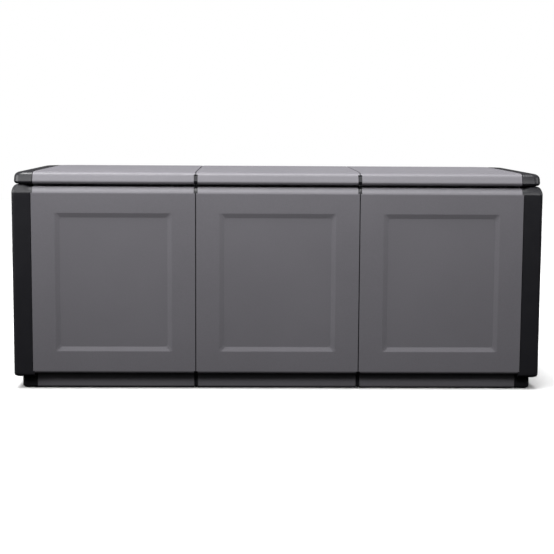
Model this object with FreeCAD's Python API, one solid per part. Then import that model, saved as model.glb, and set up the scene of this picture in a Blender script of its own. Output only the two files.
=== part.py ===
import FreeCAD, Part
import math
import os

# Moulded deck storage box: three grey modules side by side, black wrap-round ends, and a lid of
# three panels joined into one, hinged along the back.
# Millimetres. X runs along the box, Y from front to back, Z up. The origin is on the ground under
# the middle of the box.

Vec = FreeCAD.Vector

# Overall size
overall_width = 1380.0
overall_depth = 530.0
overall_height = 570.0

# Modules and moulding
module_names = ("left", "middle", "right")
end_return = 49.5          # how far each end panel wraps round on to the front and the back
skin = 3.0                 # thickness of every moulded wall
rib_thickness = 2.5
seam_gap = 2.6             # open line between two modules
fit_gap = 0.2              # clearance on each side of a strip or a tab in its slot
notch_width = 10.0         # slot across a seam where the end of a joining strip shows
strip_recess = 1.8         # how far a strip lies behind the faces beside it
strip_width = 40.0         # flat of a joining strip, behind the panels
tongue = 20.0              # overlap of an end part behind the part beside it
least_radius = 1.0

# Base
base_height = 40.0         # ground to the top of the floor
base_inset_front = 19.0    # plinth behind the face of the front panels
base_inset_end = 19.5      # plinth inside the face of the end panels
base_end_width = 40.0
base_corner_radius = 10.0
base_foot_radius = 8.0     # bottom edge of the plinth rolls under
base_return = 14.0         # width of its turned-in foot

# Walls
end_panel_drop = 7.5       # end panels reach lower than the front panels by this
panel_foot_radius = 9.0    # bottom edge of the panels rolls under
end_foot_radius = 10.0
rim_gap = 6.0              # open line between the walls and the lid
rim_height = 14.0          # band along the top of the walls that leans inwards
rim_lean = 10.5
rim_break_radius = 5.0
rim_edge_radius = 2.5
rim_end_radius = 15.0      # rounding along the top of the end panels
end_rise = 5.0             # end panels stand higher than the front panels by this
end_rise_run = 22.0        # length of the slope up to that height
end_rise_stop = 150.0      # the rise fades out in front of the hinges, from here to the back
rim_width = 33.0           # outer face to the mouth of the box
rim_lip = 15.0             # turned-down edge round the mouth
wall_corner_radius = 10.0
rim_notch_height = 16.0
foot_notch_height = 8.0
wall_rib_depth = 12.0
wall_rib_margin = 28.0     # seam to the upright rib beside it

# Sunken field of every wall panel
field_side_margin = 61.9   # seam to the outer edge of the field
field_top_margin = 67.8    # top of the walls to the field
field_bottom_margin = 60.7
field_slope = 12.0         # width of the sloping border
field_depth = 3.2
field_outer_radius = 12.0
field_inner_radius = 5.0

# Lid
lid_height = 33.0
lid_inset_end = 4.0
lid_inset_front = 1.0
lid_inset_back = 2.0
lid_roll_radius = 8.0      # bottom edge of the lid rolls under
lid_return = 14.0          # width of the turned-in edge
lid_front_radius = 9.0
lid_end_radius = 14.0
lid_back_radius = 5.0
lid_face_lean = 13.0        # the front face of the lid leans back by this
lid_end_lean = 3.0
lid_shoulder = 2.0         # the lid's face stops this far below the top
lid_crown = (40.0, 0.8, 65.0)      # first slope's run, drop left after it, second slope's run
lid_corner_front = 20.0
lid_corner_back = 12.0
crown_radii = (400.0, 800.0)
lid_cap_reach = 4.0        # the lid's black ends reach further in than the walls' by this
lid_nose_depth = 9.0       # depth of the notch in the lid's edge at a seam
lid_rib_depth = 12.0
lid_rib_places = (-140.0, -70.0, 70.0, 140.0)
lid_cross_rib_share = 0.25     # of the depth, in front of and behind the middle
rain_rib_gap = 3.0         # lid's hanging rib to the edge of the mouth
rain_rib_reach = 8.0       # how far it hangs below the top of the walls
seat_gap = 0.3             # lid's feet to the rim when it is shut

# Hinges
hinge_inset = 10.0         # pin axis in front of the back face
hinge_rise = 10.0          # pin axis above the top of the walls
knuckle_radius = 6.0
knuckle_half = 12.0        # half-length of the lid's knuckle
bracket_knuckle_end = 32.0
bracket_half = 35.0
knuckle_gap = 0.3
pin_radius = 2.5
pin_clearance = 0.05
pin_head_radius = 4.2
pin_head_length = 2.0
pin_overhang = 1.0         # plain end of the pin beyond its knuckle
bracket_thickness = 3.0
bracket_front_margin = 2.0     # mouth to the bracket
bracket_back_margin = 1.0      # bracket to the leaning rim
web_room = 4.8             # bracket's screw heads to its knuckles
open_angle = 100.0         # lid fully open, against the stop
heel_angle = -10.0         # direction of the lid's heel when shut, up from straight back
heel_half = 2.0
heel_radius = 9.0
stop_gap = 0.3
lid_slot_margin = 1.5      # lid's edge is cut away this far beside a hinge
arm_half = 30.0
arm_length = 60.0
arm_drop = 6.0             # arm's plate hangs this far under the lid's skin, on bosses
arm_rear_depth = 8.0
screw_radius = 1.9
screw_clearance = 0.05
screw_head_radius = 3.5
screw_head_height = 2.0
screw_length = 10.5
screw_spread = 22.0        # middle of a hinge to its screws
boss_radius = 4.5
boss_depth = 8.0

# Places worked out from the sizes above
half_width = overall_width / 2
half_depth = overall_depth / 2
module_width = (overall_width - 2 * end_return) / len(module_names)
module_centres = [module_width * (number - 1) for number in range(len(module_names))]
seams = [module_centres[0] + module_width / 2, module_centres[1] + module_width / 2]
modules_end = half_width - end_return
wall_top = overall_height - lid_height - rim_gap
rim_break = wall_top - rim_height
flat_low = base_height + panel_foot_radius      # upright stretch of the walls, between
flat_high = rim_break - rim_break_radius        # the rolled foot and the leaning rim
lid_bottom = overall_height - lid_height
base_half_width = half_width - base_inset_end
base_half_depth = half_depth - base_inset_front
mouth_half_width = half_width - rim_width
mouth_half_depth = half_depth - rim_width
field_bottom = base_height + field_bottom_margin
field_top = wall_top - field_top_margin
lid_half_width = half_width - lid_inset_end
lid_front = -half_depth + lid_inset_front
lid_back = half_depth - lid_inset_back
lid_cap_start = modules_end - lid_cap_reach
rain_rib_front = -mouth_half_depth + rain_rib_gap
hinge_y = half_depth - hinge_inset
hinge_z = wall_top + hinge_rise
bracket_screw_y = mouth_half_depth + bracket_front_margin + screw_head_radius + fit_gap
web_depth = hinge_y - bracket_screw_y - screw_head_radius - web_room
beyond = overall_width     # longer than anything it has to cut through


# ---- General shapes ----

def section_point(axis, u, v, along):
    """Point (u, v) of a section that is pushed out along the named axis."""
    if axis == "X":
        return Vec(along, u, v)
    if axis == "Y":
        return Vec(u, along, v)
    return Vec(u, v, along)


def outline(axis, corners, along):
    """Closed wire through (u, v, radius) corners, each rounded by its own radius."""
    points = [section_point(axis, u, v, along) for u, v, radius in corners]
    rounded = []
    for number, corner in enumerate(points):
        radius = corners[number][2]
        if radius == 0:
            rounded.append((corner, None, corner))
            continue
        back = (points[number - 1] - corner).normalize()
        ahead = (points[(number + 1) % len(points)] - corner).normalize()
        half_angle = back.getAngle(ahead) / 2
        inward = (back + ahead).normalize()
        reach = radius / math.tan(half_angle)
        middle = corner + inward * (radius / math.sin(half_angle) - radius)
        rounded.append((corner + back * reach, middle, corner + ahead * reach))
    edges = []
    for number, (start, middle, end) in enumerate(rounded):
        if middle is not None:
            edges.append(Part.Arc(start, middle, end).toShape())
        following = rounded[(number + 1) % len(rounded)][0]
        if end.distanceToPoint(following) > 1e-6:
            edges.append(Part.LineSegment(end, following).toShape())
    return Part.Wire(edges)


def prism(axis, corners, start, end):
    """Solid with the given section, from start to end along the axis."""
    push = section_point(axis, 0, 0, end - start)
    return Part.Face(outline(axis, corners, start)).extrude(push)


def block(x_low, x_high, y_low, y_high, z_low, z_high):
    return Part.makeBox(x_high - x_low, y_high - y_low, z_high - z_low, Vec(x_low, y_low, z_low))


def upright_rod(x, y, z_low, z_high, radius):
    return Part.makeCylinder(radius, z_high - z_low, Vec(x, y, z_low), Vec(0, 0, 1))


def hinge_rod(x_low, x_high, radius):
    """Cylinder on the hinge axis."""
    return Part.makeCylinder(radius, x_high - x_low, Vec(x_low, hinge_y, hinge_z), Vec(1, 0, 0))


def slab(x_low, x_high):
    """Everything between two places along the box."""
    return block(x_low, x_high, -beyond, beyond, -beyond, beyond)


def turned(shape, degrees):
    """Copy of a shape, turned about the vertical through the origin."""
    copy = shape.copy()
    copy.rotate(Vec(0, 0, 0), Vec(0, 0, 1), degrees)
    return copy


def softened(radius, inset):
    """Radius of a corner on a surface that lies further in by the inset."""
    return max(radius - inset, least_radius)


# ---- Walls ----

def wall_section(inset, bottom, top):
    """Front-to-back section of the walls: rolled foot, upright face and leaning rim."""
    lean = rim_lean / rim_height
    slant = math.hypot(1, lean)
    side = half_depth - inset
    bend = rim_break - inset * (slant - 1) / lean
    top_side = half_depth - inset * slant - (top - rim_break) * lean
    foot = softened(panel_foot_radius, inset)
    edge = softened(rim_edge_radius, inset)
    return [(-side, bottom, foot), (side, bottom, foot), (side, bend, rim_break_radius),
            (top_side, top, edge), (-top_side, top, edge), (-side, bend, rim_break_radius)]


def wall_solid(inset, bottom, rise=0):
    """Outside of the walls moved in by an inset, as one closed body."""
    side = half_width - inset
    top = wall_top + rise - inset
    foot = softened(end_foot_radius, inset)
    edge = softened(rim_end_radius, inset)
    corner = softened(wall_corner_radius, inset)
    depth = half_depth - inset
    along = prism("X", wall_section(inset, bottom, top), -side, side)
    across = prism("Y", [(-side, bottom, foot), (side, bottom, foot), (side, top, edge),
                         (-side, top, edge)], -half_depth, half_depth)
    plan = prism("Z", [(-side, -depth, corner), (side, -depth, corner),
                       (side, depth, corner), (-side, depth, corner)], 0, overall_height)
    return along.common(across).common(plan)


def wall_shell(inset, bottom):
    """Skin of the walls with the turned-in rim, its turned-down lip and the turned-in foot."""
    hollow = wall_solid(skin, base_height + skin)
    mouth = block(-mouth_half_width, mouth_half_width, -mouth_half_depth, mouth_half_depth,
                  -beyond, beyond)
    lip = block(-mouth_half_width - skin, mouth_half_width + skin,
                -mouth_half_depth - skin, mouth_half_depth + skin,
                wall_top - rim_lip, wall_top - skin / 2)
    return wall_solid(inset, bottom).cut(hollow).fuse(lip).cut(mouth)


def field(half_span, depth_in, growth):
    """Tapered plug with the shape of a sunken field, on the front face, pushed in by depth_in."""
    face = -half_depth + depth_in
    rings = []
    for shrink, depth, radius in ((0, 0, field_outer_radius),
                                  (field_slope, field_depth, field_inner_radius)):
        side = half_span - shrink + growth
        low = field_bottom + shrink - growth
        high = field_top - shrink + growth
        corners = [(-side, low, radius), (side, low, radius), (side, high, radius),
                   (-side, high, radius)]
        rings.append(outline("Y", corners, face + depth))
    return Part.makeLoft(rings, True, True)


def sink_field(panel, half_span, shift_x, shift_y, degrees):
    """Press a sunken field into a panel, keeping the thickness of its skin."""
    slope_length = math.hypot(field_slope, field_depth)
    growth = skin * (slope_length - field_slope) / field_depth
    backing = field(half_span, skin, growth)
    pocket = field(half_span, 0, 0)
    for plug in (backing, pocket):
        plug.translate(Vec(shift_x, shift_y, 0))
        plug.rotate(Vec(0, 0, 0), Vec(0, 0, 1), degrees)
    return panel.fuse(backing).cut(pocket)


def seam_slots(centre):
    """Slots at both ends of a module where the strips' ends show, top and bottom."""
    slots = []
    for side in (-1, 1):
        seam = centre + side * module_width / 2
        for low, high in ((wall_top - rim_notch_height, wall_top),
                          (0, base_height + foot_notch_height)):
            slots.append(block(seam - notch_width / 2, seam + notch_width / 2,
                               -half_depth, -mouth_half_depth, low, high))
    return slots


def front_panel(shell, core, centre):
    """Front panel of one module, with an upright rib beside each seam."""
    half = (module_width - seam_gap) / 2
    panel = shell.common(block(centre - half, centre + half, -half_depth, 0, 0, overall_height))
    for side in (-1, 1):
        middle = centre + side * (module_width / 2 - wall_rib_margin)
        rib = block(middle - rib_thickness / 2, middle + rib_thickness / 2, -half_depth,
                    -half_depth + skin + wall_rib_depth, 0, overall_height)
        panel = panel.fuse(rib.common(core))
    for slot in seam_slots(centre):
        panel = panel.cut(slot)
    return sink_field(panel, module_width / 2 - field_side_margin, centre, 0, 0)


def back_panel(shell, core, centre):
    """Back panel of one module: a front panel turned round, with bosses for the hinge screws."""
    panel = turned(front_panel(shell, core, -centre), 180)
    for x, y in bracket_screw_places(centre):
        panel = panel.fuse(upright_rod(x, y, wall_top - skin - boss_depth, wall_top - skin / 2,
                                       boss_radius))
        panel = panel.cut(upright_rod(x, y, 0, wall_top, screw_radius + screw_clearance))
    return panel


def end_brow():
    """Raised part along the top of an end panel. It slopes up from the seam beside it, and fades
    out towards the back so that the lid can swing past it."""
    foot = wall_top - skin / 2
    top = wall_top + end_rise
    start = modules_end + fit_gap
    across = prism("Y", [(start, foot, 0), (half_width, foot, 0), (half_width, top, 0),
                         (start + end_rise_run, top, end_rise_run), (start, wall_top, 0)],
                   -half_depth, half_depth)
    along = prism("X", [(-half_depth, foot, 0), (half_depth, foot, 0),
                        (end_rise_stop + end_rise_run, wall_top, 0), (end_rise_stop, top, 0),
                        (-half_depth, top, 0)], 0, half_width)
    mouth = block(0, mouth_half_width, -mouth_half_depth, mouth_half_depth, 0, overall_height)
    return wall_solid(0, base_height, end_rise).common(across).common(along).cut(mouth)


def end_panel(shell, side):
    """Black end panel, wrapped round on to the front and the back."""
    low = modules_end + fit_gap
    panel = shell.common(block(low, half_width, -half_depth, half_depth, 0, overall_height))
    panel = panel.fuse(end_brow())
    tab_low = modules_end - notch_width / 2 + fit_gap
    for low_z, high_z in ((wall_top - rim_notch_height + fit_gap, wall_top),
                          (0, base_height + foot_notch_height - fit_gap)):
        for y_low, y_high in ((-half_depth, -mouth_half_depth), (mouth_half_depth, half_depth)):
            panel = panel.fuse(shell.common(block(tab_low, low + skin, y_low, y_high, low_z, high_z)))
    for face in (-half_depth + skin, half_depth - 2 * skin):
        panel = panel.fuse(block(modules_end - tongue, low + skin, face, face + skin,
                                 flat_low, flat_high))
    seat = block(-base_half_width - fit_gap, base_half_width + fit_gap,
                 -base_half_depth - fit_gap, base_half_depth + fit_gap, 0, base_height)
    panel = panel.cut(seat)
    if side < 0:
        panel = turned(panel, 180)
    return sink_field(panel, half_depth - field_side_margin, 0, half_depth - half_width, side * 90)


def wall_joiner(shell, seam, side):
    """Black strip behind a seam of the front, or of the back when side is 1, with a web in the
    seam and an end that shows at the top and at the bottom."""
    slot_half = notch_width / 2 - fit_gap
    web_half = seam_gap / 2 - fit_gap
    face = -half_depth + skin
    strip = block(-strip_width / 2, strip_width / 2, face, face + skin, flat_low, flat_high)
    front = block(-slot_half, slot_half, -half_depth, -mouth_half_depth, 0, overall_height)
    web = block(-web_half, web_half, -half_depth, -mouth_half_depth, 0, overall_height)
    head = block(-beyond, beyond, -beyond, beyond,
                 wall_top - rim_notch_height + fit_gap, overall_height)
    foot = block(-beyond, beyond, -beyond, beyond, 0, base_height + foot_notch_height - fit_gap)
    strip = strip.fuse(shell.common(web))
    strip = strip.fuse(shell.common(front).common(head))
    strip = strip.fuse(shell.common(front).common(foot))
    if side > 0:
        strip = turned(strip, 180)
    strip.translate(Vec(seam, 0, 0))
    return strip


# ---- Base ----

def base_solid(inset, top):
    """Outside of the base moved in by an inset."""
    side = base_half_width - inset
    depth = base_half_depth - inset
    corner = softened(base_corner_radius, inset)
    foot = softened(base_foot_radius, inset)
    along = prism("X", [(-depth, inset, foot), (depth, inset, foot), (depth, top, 0),
                        (-depth, top, 0)], -side, side)
    across = prism("Y", [(-side, inset, foot), (side, inset, foot), (side, top, 0),
                         (-side, top, 0)], -depth, depth)
    plan = prism("Z", [(-side, -depth, corner), (side, -depth, corner), (side, depth, corner),
                       (-side, depth, corner)], 0, top)
    return along.common(across).common(plan)


def base_shell(inset):
    """Floor with its plinth and turned-in foot, open below."""
    side = base_half_width - base_return
    depth = base_half_depth - base_return
    mouth = block(-side, side, -depth, depth, -skin, 2 * skin)
    hollow = base_solid(skin, base_height - skin)
    return base_solid(inset, base_height - inset).cut(hollow).cut(mouth)


def floor_panel(shell, core, centre, low, high):
    """Floor of one module with its plinth in front and behind, and ribs underneath."""
    panel = shell.common(slab(low, high))
    depth = base_half_depth - skin / 2
    top = base_height - skin / 2
    flat_depth = base_half_depth - base_foot_radius
    rib_span = module_width / 2 - strip_width
    for share in (-1, 0, 1):
        x = centre + share * rib_span / 2
        lengthways = block(x - rib_thickness / 2, x + rib_thickness / 2, -depth, depth, 0, top)
        on_ground = block(x - rib_thickness / 2, x + rib_thickness / 2, -flat_depth, flat_depth,
                          0, top)
        panel = panel.fuse(lengthways.common(core)).fuse(on_ground)
        y = share * base_half_depth / 2
        panel = panel.fuse(block(centre - rib_span, centre + rib_span, y - rib_thickness / 2,
                                 y + rib_thickness / 2, 0, top))
    for seam in seams:
        for y_low, y_high in ((-base_half_depth, -base_half_depth + skin),
                              (base_half_depth - skin, base_half_depth)):
            panel = panel.cut(block(seam - notch_width / 2, seam + notch_width / 2, y_low, y_high,
                                    0, base_height))
    return panel


def base_end(shell, side):
    """Black end of the base, with a tongue under the floor beside it."""
    start = base_half_width - base_end_width
    piece = shell.common(slab(start + fit_gap, half_width))
    piece = piece.fuse(block(start - tongue, start + skin, -base_half_depth + 2 * skin,
                             base_half_depth - 2 * skin, base_height - 2 * skin,
                             base_height - skin))
    return piece if side > 0 else turned(piece, 180)


def floor_joiner(shell, seam):
    """Black strip under a seam of the floor, with ends that show in the plinth."""
    slot_half = notch_width / 2 - fit_gap
    web_half = seam_gap / 2 - fit_gap
    strip = block(-strip_width / 2, strip_width / 2, -base_half_depth + skin,
                  base_half_depth - skin, base_height - 2 * skin, base_height - skin)
    strip = strip.fuse(shell.common(slab(-web_half, web_half)))
    for y_low, y_high in ((-base_half_depth, -base_half_depth + skin),
                          (base_half_depth - skin, base_half_depth)):
        strip = strip.fuse(shell.common(block(-slot_half, slot_half, y_low, y_high, 0, base_height)))
    strip.translate(Vec(seam, 0, 0))
    return strip


# ---- Lid ----

def lid_solid(inset, bottom):
    """Outside of the lid moved in by an inset, with its gently crowned front and ends."""
    top = overall_height - inset
    roll = softened(lid_roll_radius, inset)
    first_run, drop, second_run = lid_crown
    first_radius, second_radius = crown_radii
    front = lid_front + inset
    back = lid_back - inset
    side = lid_half_width - inset
    crown_front = lid_front + first_run
    crown_end = lid_half_width - first_run
    along = prism("X", [(front, bottom, roll), (back, bottom, roll),
                        (back, top, softened(lid_back_radius, inset)),
                        (crown_front + second_run, top, second_radius),
                        (crown_front, top - drop, first_radius),
                        (front + lid_face_lean, top - lid_shoulder,
                         softened(lid_front_radius, inset))],
                  -side, side)
    end_corner = softened(lid_end_radius, inset)
    across = prism("Y", [(-side, bottom, roll), (side, bottom, roll),
                         (side - lid_end_lean, top - lid_shoulder, end_corner),
                         (crown_end, top - drop, first_radius),
                         (crown_end - second_run, top, second_radius),
                         (second_run - crown_end, top, second_radius),
                         (-crown_end, top - drop, first_radius),
                         (lid_end_lean - side, top - lid_shoulder, end_corner)], front, back)
    front_corner = softened(lid_corner_front, inset)
    back_corner = softened(lid_corner_back, inset)
    plan = prism("Z", [(-side, front, front_corner), (side, front, front_corner),
                       (side, back, back_corner), (-side, back, back_corner)], 0, overall_height)
    return along.common(across).common(plan)


def lid_shell(inset):
    """Skin of the lid with its edge turned in along the bottom."""
    mouth = block(-lid_half_width + lid_return, lid_half_width - lid_return,
                  lid_front + lid_return, lid_back - lid_return, 0, lid_bottom + 2 * skin)
    return lid_solid(inset, lid_bottom + inset).cut(lid_solid(skin, lid_bottom + skin)).cut(mouth)


def hinge_slot(centre):
    """Room for a hinge in the back edge of the lid."""
    half = bracket_half + lid_slot_margin
    return block(centre - half, centre + half, lid_back - lid_return, lid_back, 0,
                 hinge_z + knuckle_radius + lid_slot_margin)


def lid_panel(shell, core, centre):
    """One panel of the lid, with its ribs, hanging rain rib and bosses for a hinge arm."""
    half = (module_width - seam_gap) / 2
    low = max(centre - half, seam_gap / 2 - lid_cap_start)
    high = min(centre + half, lid_cap_start - seam_gap / 2)
    rib_low = overall_height - skin - lid_rib_depth
    rib_ends = (rain_rib_front, lid_back - lid_return)
    span = module_width / 2 - strip_width
    ribs = [block(low, high, rain_rib_front, rain_rib_front + skin,
                  wall_top - rain_rib_reach, overall_height)]
    for place in lid_rib_places:
        x = centre + place
        ribs.append(block(x - rib_thickness / 2, x + rib_thickness / 2, rib_ends[0], rib_ends[1],
                          rib_low, overall_height))
    for share in (-1, 0, 1):
        y = share * lid_cross_rib_share * overall_depth
        ribs.append(block(centre - span, centre + span, y - rib_thickness / 2,
                          y + rib_thickness / 2, rib_low, overall_height))
    for x, y in arm_screw_places(centre):
        ribs.append(upright_rod(x, y, overall_height - skin - arm_drop, overall_height, boss_radius))
    panel = shell.common(slab(low, high))
    for rib in ribs:
        panel = panel.fuse(rib.common(core))
    for x, y in arm_screw_places(centre):
        panel = panel.cut(upright_rod(x, y, 0, arm_screw_tip(), screw_radius + screw_clearance))
    for seam in seams:
        for y_low, y_high in ((lid_front, lid_front + lid_nose_depth),
                              (lid_back - lid_nose_depth, lid_back)):
            panel = panel.cut(block(seam - notch_width / 2, seam + notch_width / 2, y_low, y_high,
                                    0, overall_height))
    return panel.cut(hinge_slot(centre))


def inner_layer(under_skin, x_low, x_high):
    """Strip of the layer that lies against the inside of the lid's skin."""
    return under_skin.common(block(x_low, x_high, rain_rib_front + 2 * skin,
                                   lid_back - lid_return, lid_bottom + lid_return, overall_height))


def lid_end_cap(shell, core, under_skin, side):
    """Black end of the lid, with a tongue under the panel beside it and its own rain rib."""
    cap = shell.common(slab(lid_cap_start + fit_gap, half_width))
    cap = cap.fuse(inner_layer(under_skin, lid_cap_start - tongue, lid_cap_start + skin))
    rib_x = mouth_half_width - rain_rib_gap - skin
    rib = block(rib_x, rib_x + skin, rain_rib_front, mouth_half_depth - rim_width,
                wall_top - rain_rib_reach, overall_height)
    cap = cap.fuse(rib.common(core))
    if side > 0:
        return cap
    return cap.mirror(Vec(0, 0, 0), Vec(1, 0, 0))


def lid_joiner(shell, core, under_skin, seam):
    """Black strip under a seam of the lid, with a web in the seam, ends that show in the lid's
    edge, and a foot that stands on the rim."""
    slot_half = notch_width / 2 - fit_gap
    web_half = seam_gap / 2 - fit_gap
    strip = inner_layer(under_skin, -strip_width / 2, strip_width / 2)
    strip = strip.fuse(shell.common(slab(-web_half, web_half)))
    for y_low, y_high in ((lid_front, lid_front + lid_nose_depth - fit_gap),
                          (lid_back - lid_nose_depth + fit_gap, lid_back)):
        nose = block(-slot_half, slot_half, y_low, y_high, 0, overall_height)
        strip = strip.fuse(shell.common(nose))
    foot = block(-web_half, web_half, lid_front + lid_nose_depth, rain_rib_front - rain_rib_gap,
                 wall_top + seat_gap, overall_height)
    strip = strip.fuse(foot.common(core))
    strip.translate(Vec(seam, 0, 0))
    return strip


# ---- Hinges ----

def bracket_screw_places(centre):
    return [(centre + side * screw_spread, bracket_screw_y) for side in (-1, 1)]


def arm_screw_places(centre):
    y = hinge_y - arm_length + boss_radius + skin
    return [(centre + side * screw_spread, y) for side in (-1, 1)]


def arm_top():
    return overall_height - skin - arm_drop


def arm_screw_tip():
    return arm_top() - bracket_thickness + screw_length


def hinge_point(reach, side_step, degrees):
    """Point near the hinge axis: a reach out in a direction, and a step clockwise from it."""
    angle = math.radians(degrees)
    y = hinge_y + reach * math.cos(angle) + side_step * math.sin(angle)
    z = hinge_z + reach * math.sin(angle) - side_step * math.cos(angle)
    return (y, z, 0)


def hinge_bracket(centre):
    """Bracket on the back rim: a plate, two knuckles and the stop for the lid's heel."""
    plate_front = mouth_half_depth + bracket_front_margin
    plate_back = half_depth - rim_lean - bracket_back_margin
    bracket = block(-bracket_half, bracket_half, plate_front, plate_back, wall_top,
                    wall_top + bracket_thickness)
    gap_half = knuckle_half + knuckle_gap
    bracket = bracket.cut(hinge_rod(-gap_half, gap_half, heel_radius + stop_gap))
    stop_angle = heel_angle - open_angle
    inside = heel_half + stop_gap
    wedge = prism("X", [hinge_point(0, inside, stop_angle),
                        hinge_point(hinge_rise, inside, stop_angle),
                        hinge_point(hinge_rise, inside + web_depth, stop_angle),
                        hinge_point(0, inside + web_depth, stop_angle)], -gap_half, gap_half)
    room = block(-gap_half, gap_half, plate_front, half_depth, wall_top, hinge_z - heel_half)
    bracket = bracket.fuse(wedge.common(room))
    bracket = bracket.cut(hinge_rod(-gap_half, gap_half, knuckle_radius + knuckle_gap))
    for side in (-1, 1):
        ends = sorted((side * gap_half, side * bracket_knuckle_end))
        bracket = bracket.fuse(block(ends[0], ends[1], hinge_y - web_depth, hinge_y, wall_top,
                                     hinge_z))
        bracket = bracket.fuse(hinge_rod(ends[0], ends[1], knuckle_radius))
    bracket = bracket.cut(hinge_rod(-bracket_half, bracket_half, pin_radius + pin_clearance))
    for x, y in bracket_screw_places(0):
        bracket = bracket.cut(upright_rod(x, y, 0, overall_height, screw_radius + screw_clearance))
    bracket.translate(Vec(centre, 0, 0))
    return bracket


def hinge_arm(centre):
    """Arm under the lid: a plate, a leg down to the knuckle, and the heel that meets the stop."""
    top = arm_top()
    bottom = top - bracket_thickness
    plate = block(-arm_half, arm_half, hinge_y - arm_length, hinge_y, bottom, top)
    leg = block(-knuckle_half, knuckle_half, hinge_y - knuckle_radius,
                hinge_y - knuckle_radius + arm_rear_depth, hinge_z, top)
    gusset = prism("X", [(hinge_y - arm_length / 2, bottom, 0), (hinge_y - knuckle_radius, bottom, 0),
                         (hinge_y - knuckle_radius, hinge_z + knuckle_radius, 0)],
                   -rib_thickness, rib_thickness)
    heel_reach = math.sqrt(heel_radius ** 2 - heel_half ** 2)
    heel = prism("X", [hinge_point(0, -heel_half, heel_angle),
                       hinge_point(heel_reach, -heel_half, heel_angle),
                       hinge_point(heel_reach, heel_half, heel_angle),
                       hinge_point(0, heel_half, heel_angle)], -knuckle_half, knuckle_half)
    arm = plate.fuse(leg).fuse(gusset).fuse(heel)
    arm = arm.fuse(hinge_rod(-knuckle_half, knuckle_half, knuckle_radius))
    arm = arm.cut(hinge_rod(-bracket_half, bracket_half, pin_radius + pin_clearance))
    for x, y in arm_screw_places(0):
        arm = arm.cut(upright_rod(x, y, 0, overall_height, screw_radius + screw_clearance))
    arm.translate(Vec(centre, 0, 0))
    return arm


def hinge_pin(centre):
    """Steel pin with one head."""
    pin = hinge_rod(-bracket_knuckle_end - pin_overhang, bracket_knuckle_end + pin_head_length,
                    pin_radius)
    pin = pin.fuse(hinge_rod(bracket_knuckle_end + knuckle_gap,
                             bracket_knuckle_end + knuckle_gap + pin_head_length,
                             pin_head_radius))
    pin.translate(Vec(centre, 0, 0))
    return pin


def screw(x, y, head_face, direction):
    """Pan-head screw: its head lies on head_face and its shank runs in the given direction."""
    toward = Vec(0, 0, direction)
    shank = Part.makeCylinder(screw_radius, screw_length, Vec(x, y, head_face), toward)
    head = Part.makeCylinder(screw_head_radius, screw_head_height, Vec(x, y, head_face), -toward)
    rim = [edge for edge in head.Edges
           if abs(edge.BoundBox.ZMin - head_face + direction * screw_head_height) < 1e-6
           and abs(edge.BoundBox.ZMax - edge.BoundBox.ZMin) < 1e-6]
    head = head.makeFillet(screw_head_height / 2, rim)
    return shank.fuse(head)


def screws(places, head_face, direction):
    return Part.makeCompound([screw(x, y, head_face, direction) for x, y in places])


# ---- The whole box ----

def build():
    """Every piece of the box, by name."""
    pieces = {}
    panels = wall_shell(0, base_height)
    ends = wall_shell(0, base_height - end_panel_drop)
    strips = wall_shell(strip_recess, base_height + strip_recess)
    base = base_shell(0)
    base_strips = base_shell(strip_recess)
    lid = lid_shell(0)
    lid_strips = lid_shell(strip_recess)
    base_core = base_solid(skin / 2, base_height - skin / 2)
    wall_core = wall_solid(skin / 2, base_height + skin / 2)
    lid_core = lid_solid(skin / 2, wall_top - rim_lip)
    under_skin = lid_solid(skin, lid_bottom).cut(lid_solid(2 * skin, lid_bottom))

    floor_end = base_half_width - base_end_width
    floor_edges = [-floor_end, seams[0] - seam_gap / 2, seams[0] + seam_gap / 2,
                   seams[1] - seam_gap / 2, seams[1] + seam_gap / 2, floor_end]
    for number, name in enumerate(module_names):
        centre = module_centres[number]
        pieces["floor_panel_" + name] = floor_panel(base, base_core, centre,
                                                    floor_edges[2 * number],
                                                    floor_edges[2 * number + 1])
        pieces["front_panel_" + name] = front_panel(panels, wall_core, centre)
        pieces["back_panel_" + name] = back_panel(panels, wall_core, centre)
        pieces["lid_panel_" + name] = lid_panel(lid, lid_core, centre)
        pieces["hinge_bracket_" + name] = hinge_bracket(centre)
        pieces["hinge_arm_" + name] = hinge_arm(centre)
        pieces["hinge_pin_" + name] = hinge_pin(centre)
    for name, side, seam in (("left", -1, seams[0]), ("right", 1, seams[1])):
        pieces["base_end_" + name] = base_end(base, side)
        pieces["end_panel_" + name] = end_panel(ends, side)
        pieces["lid_end_cap_" + name] = lid_end_cap(lid, lid_core, under_skin, side)
        pieces["floor_joiner_" + name] = floor_joiner(base_strips, seam)
        pieces["front_joiner_" + name] = wall_joiner(strips, seam, -1)
        pieces["back_joiner_" + name] = wall_joiner(strips, seam, 1)
        pieces["lid_joiner_" + name] = lid_joiner(lid_strips, lid_core, under_skin, seam)
    bracket_places = []
    arm_places = []
    for centre in module_centres:
        bracket_places += bracket_screw_places(centre)
        arm_places += arm_screw_places(centre)
    pieces["hinge_bracket_screws"] = screws(bracket_places, wall_top + bracket_thickness, -1)
    pieces["hinge_arm_screws"] = screws(arm_places, arm_top() - bracket_thickness, 1)
    return pieces


os.makedirs("parts", exist_ok=True)
for node, shape in build().items():
    shape.exportStep("parts/" + node + ".step")
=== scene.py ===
import math

import bmesh
import bpy
from bpy.props import FloatProperty, FloatVectorProperty, IntProperty, PointerProperty
from mathutils import Matrix, Vector


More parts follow.
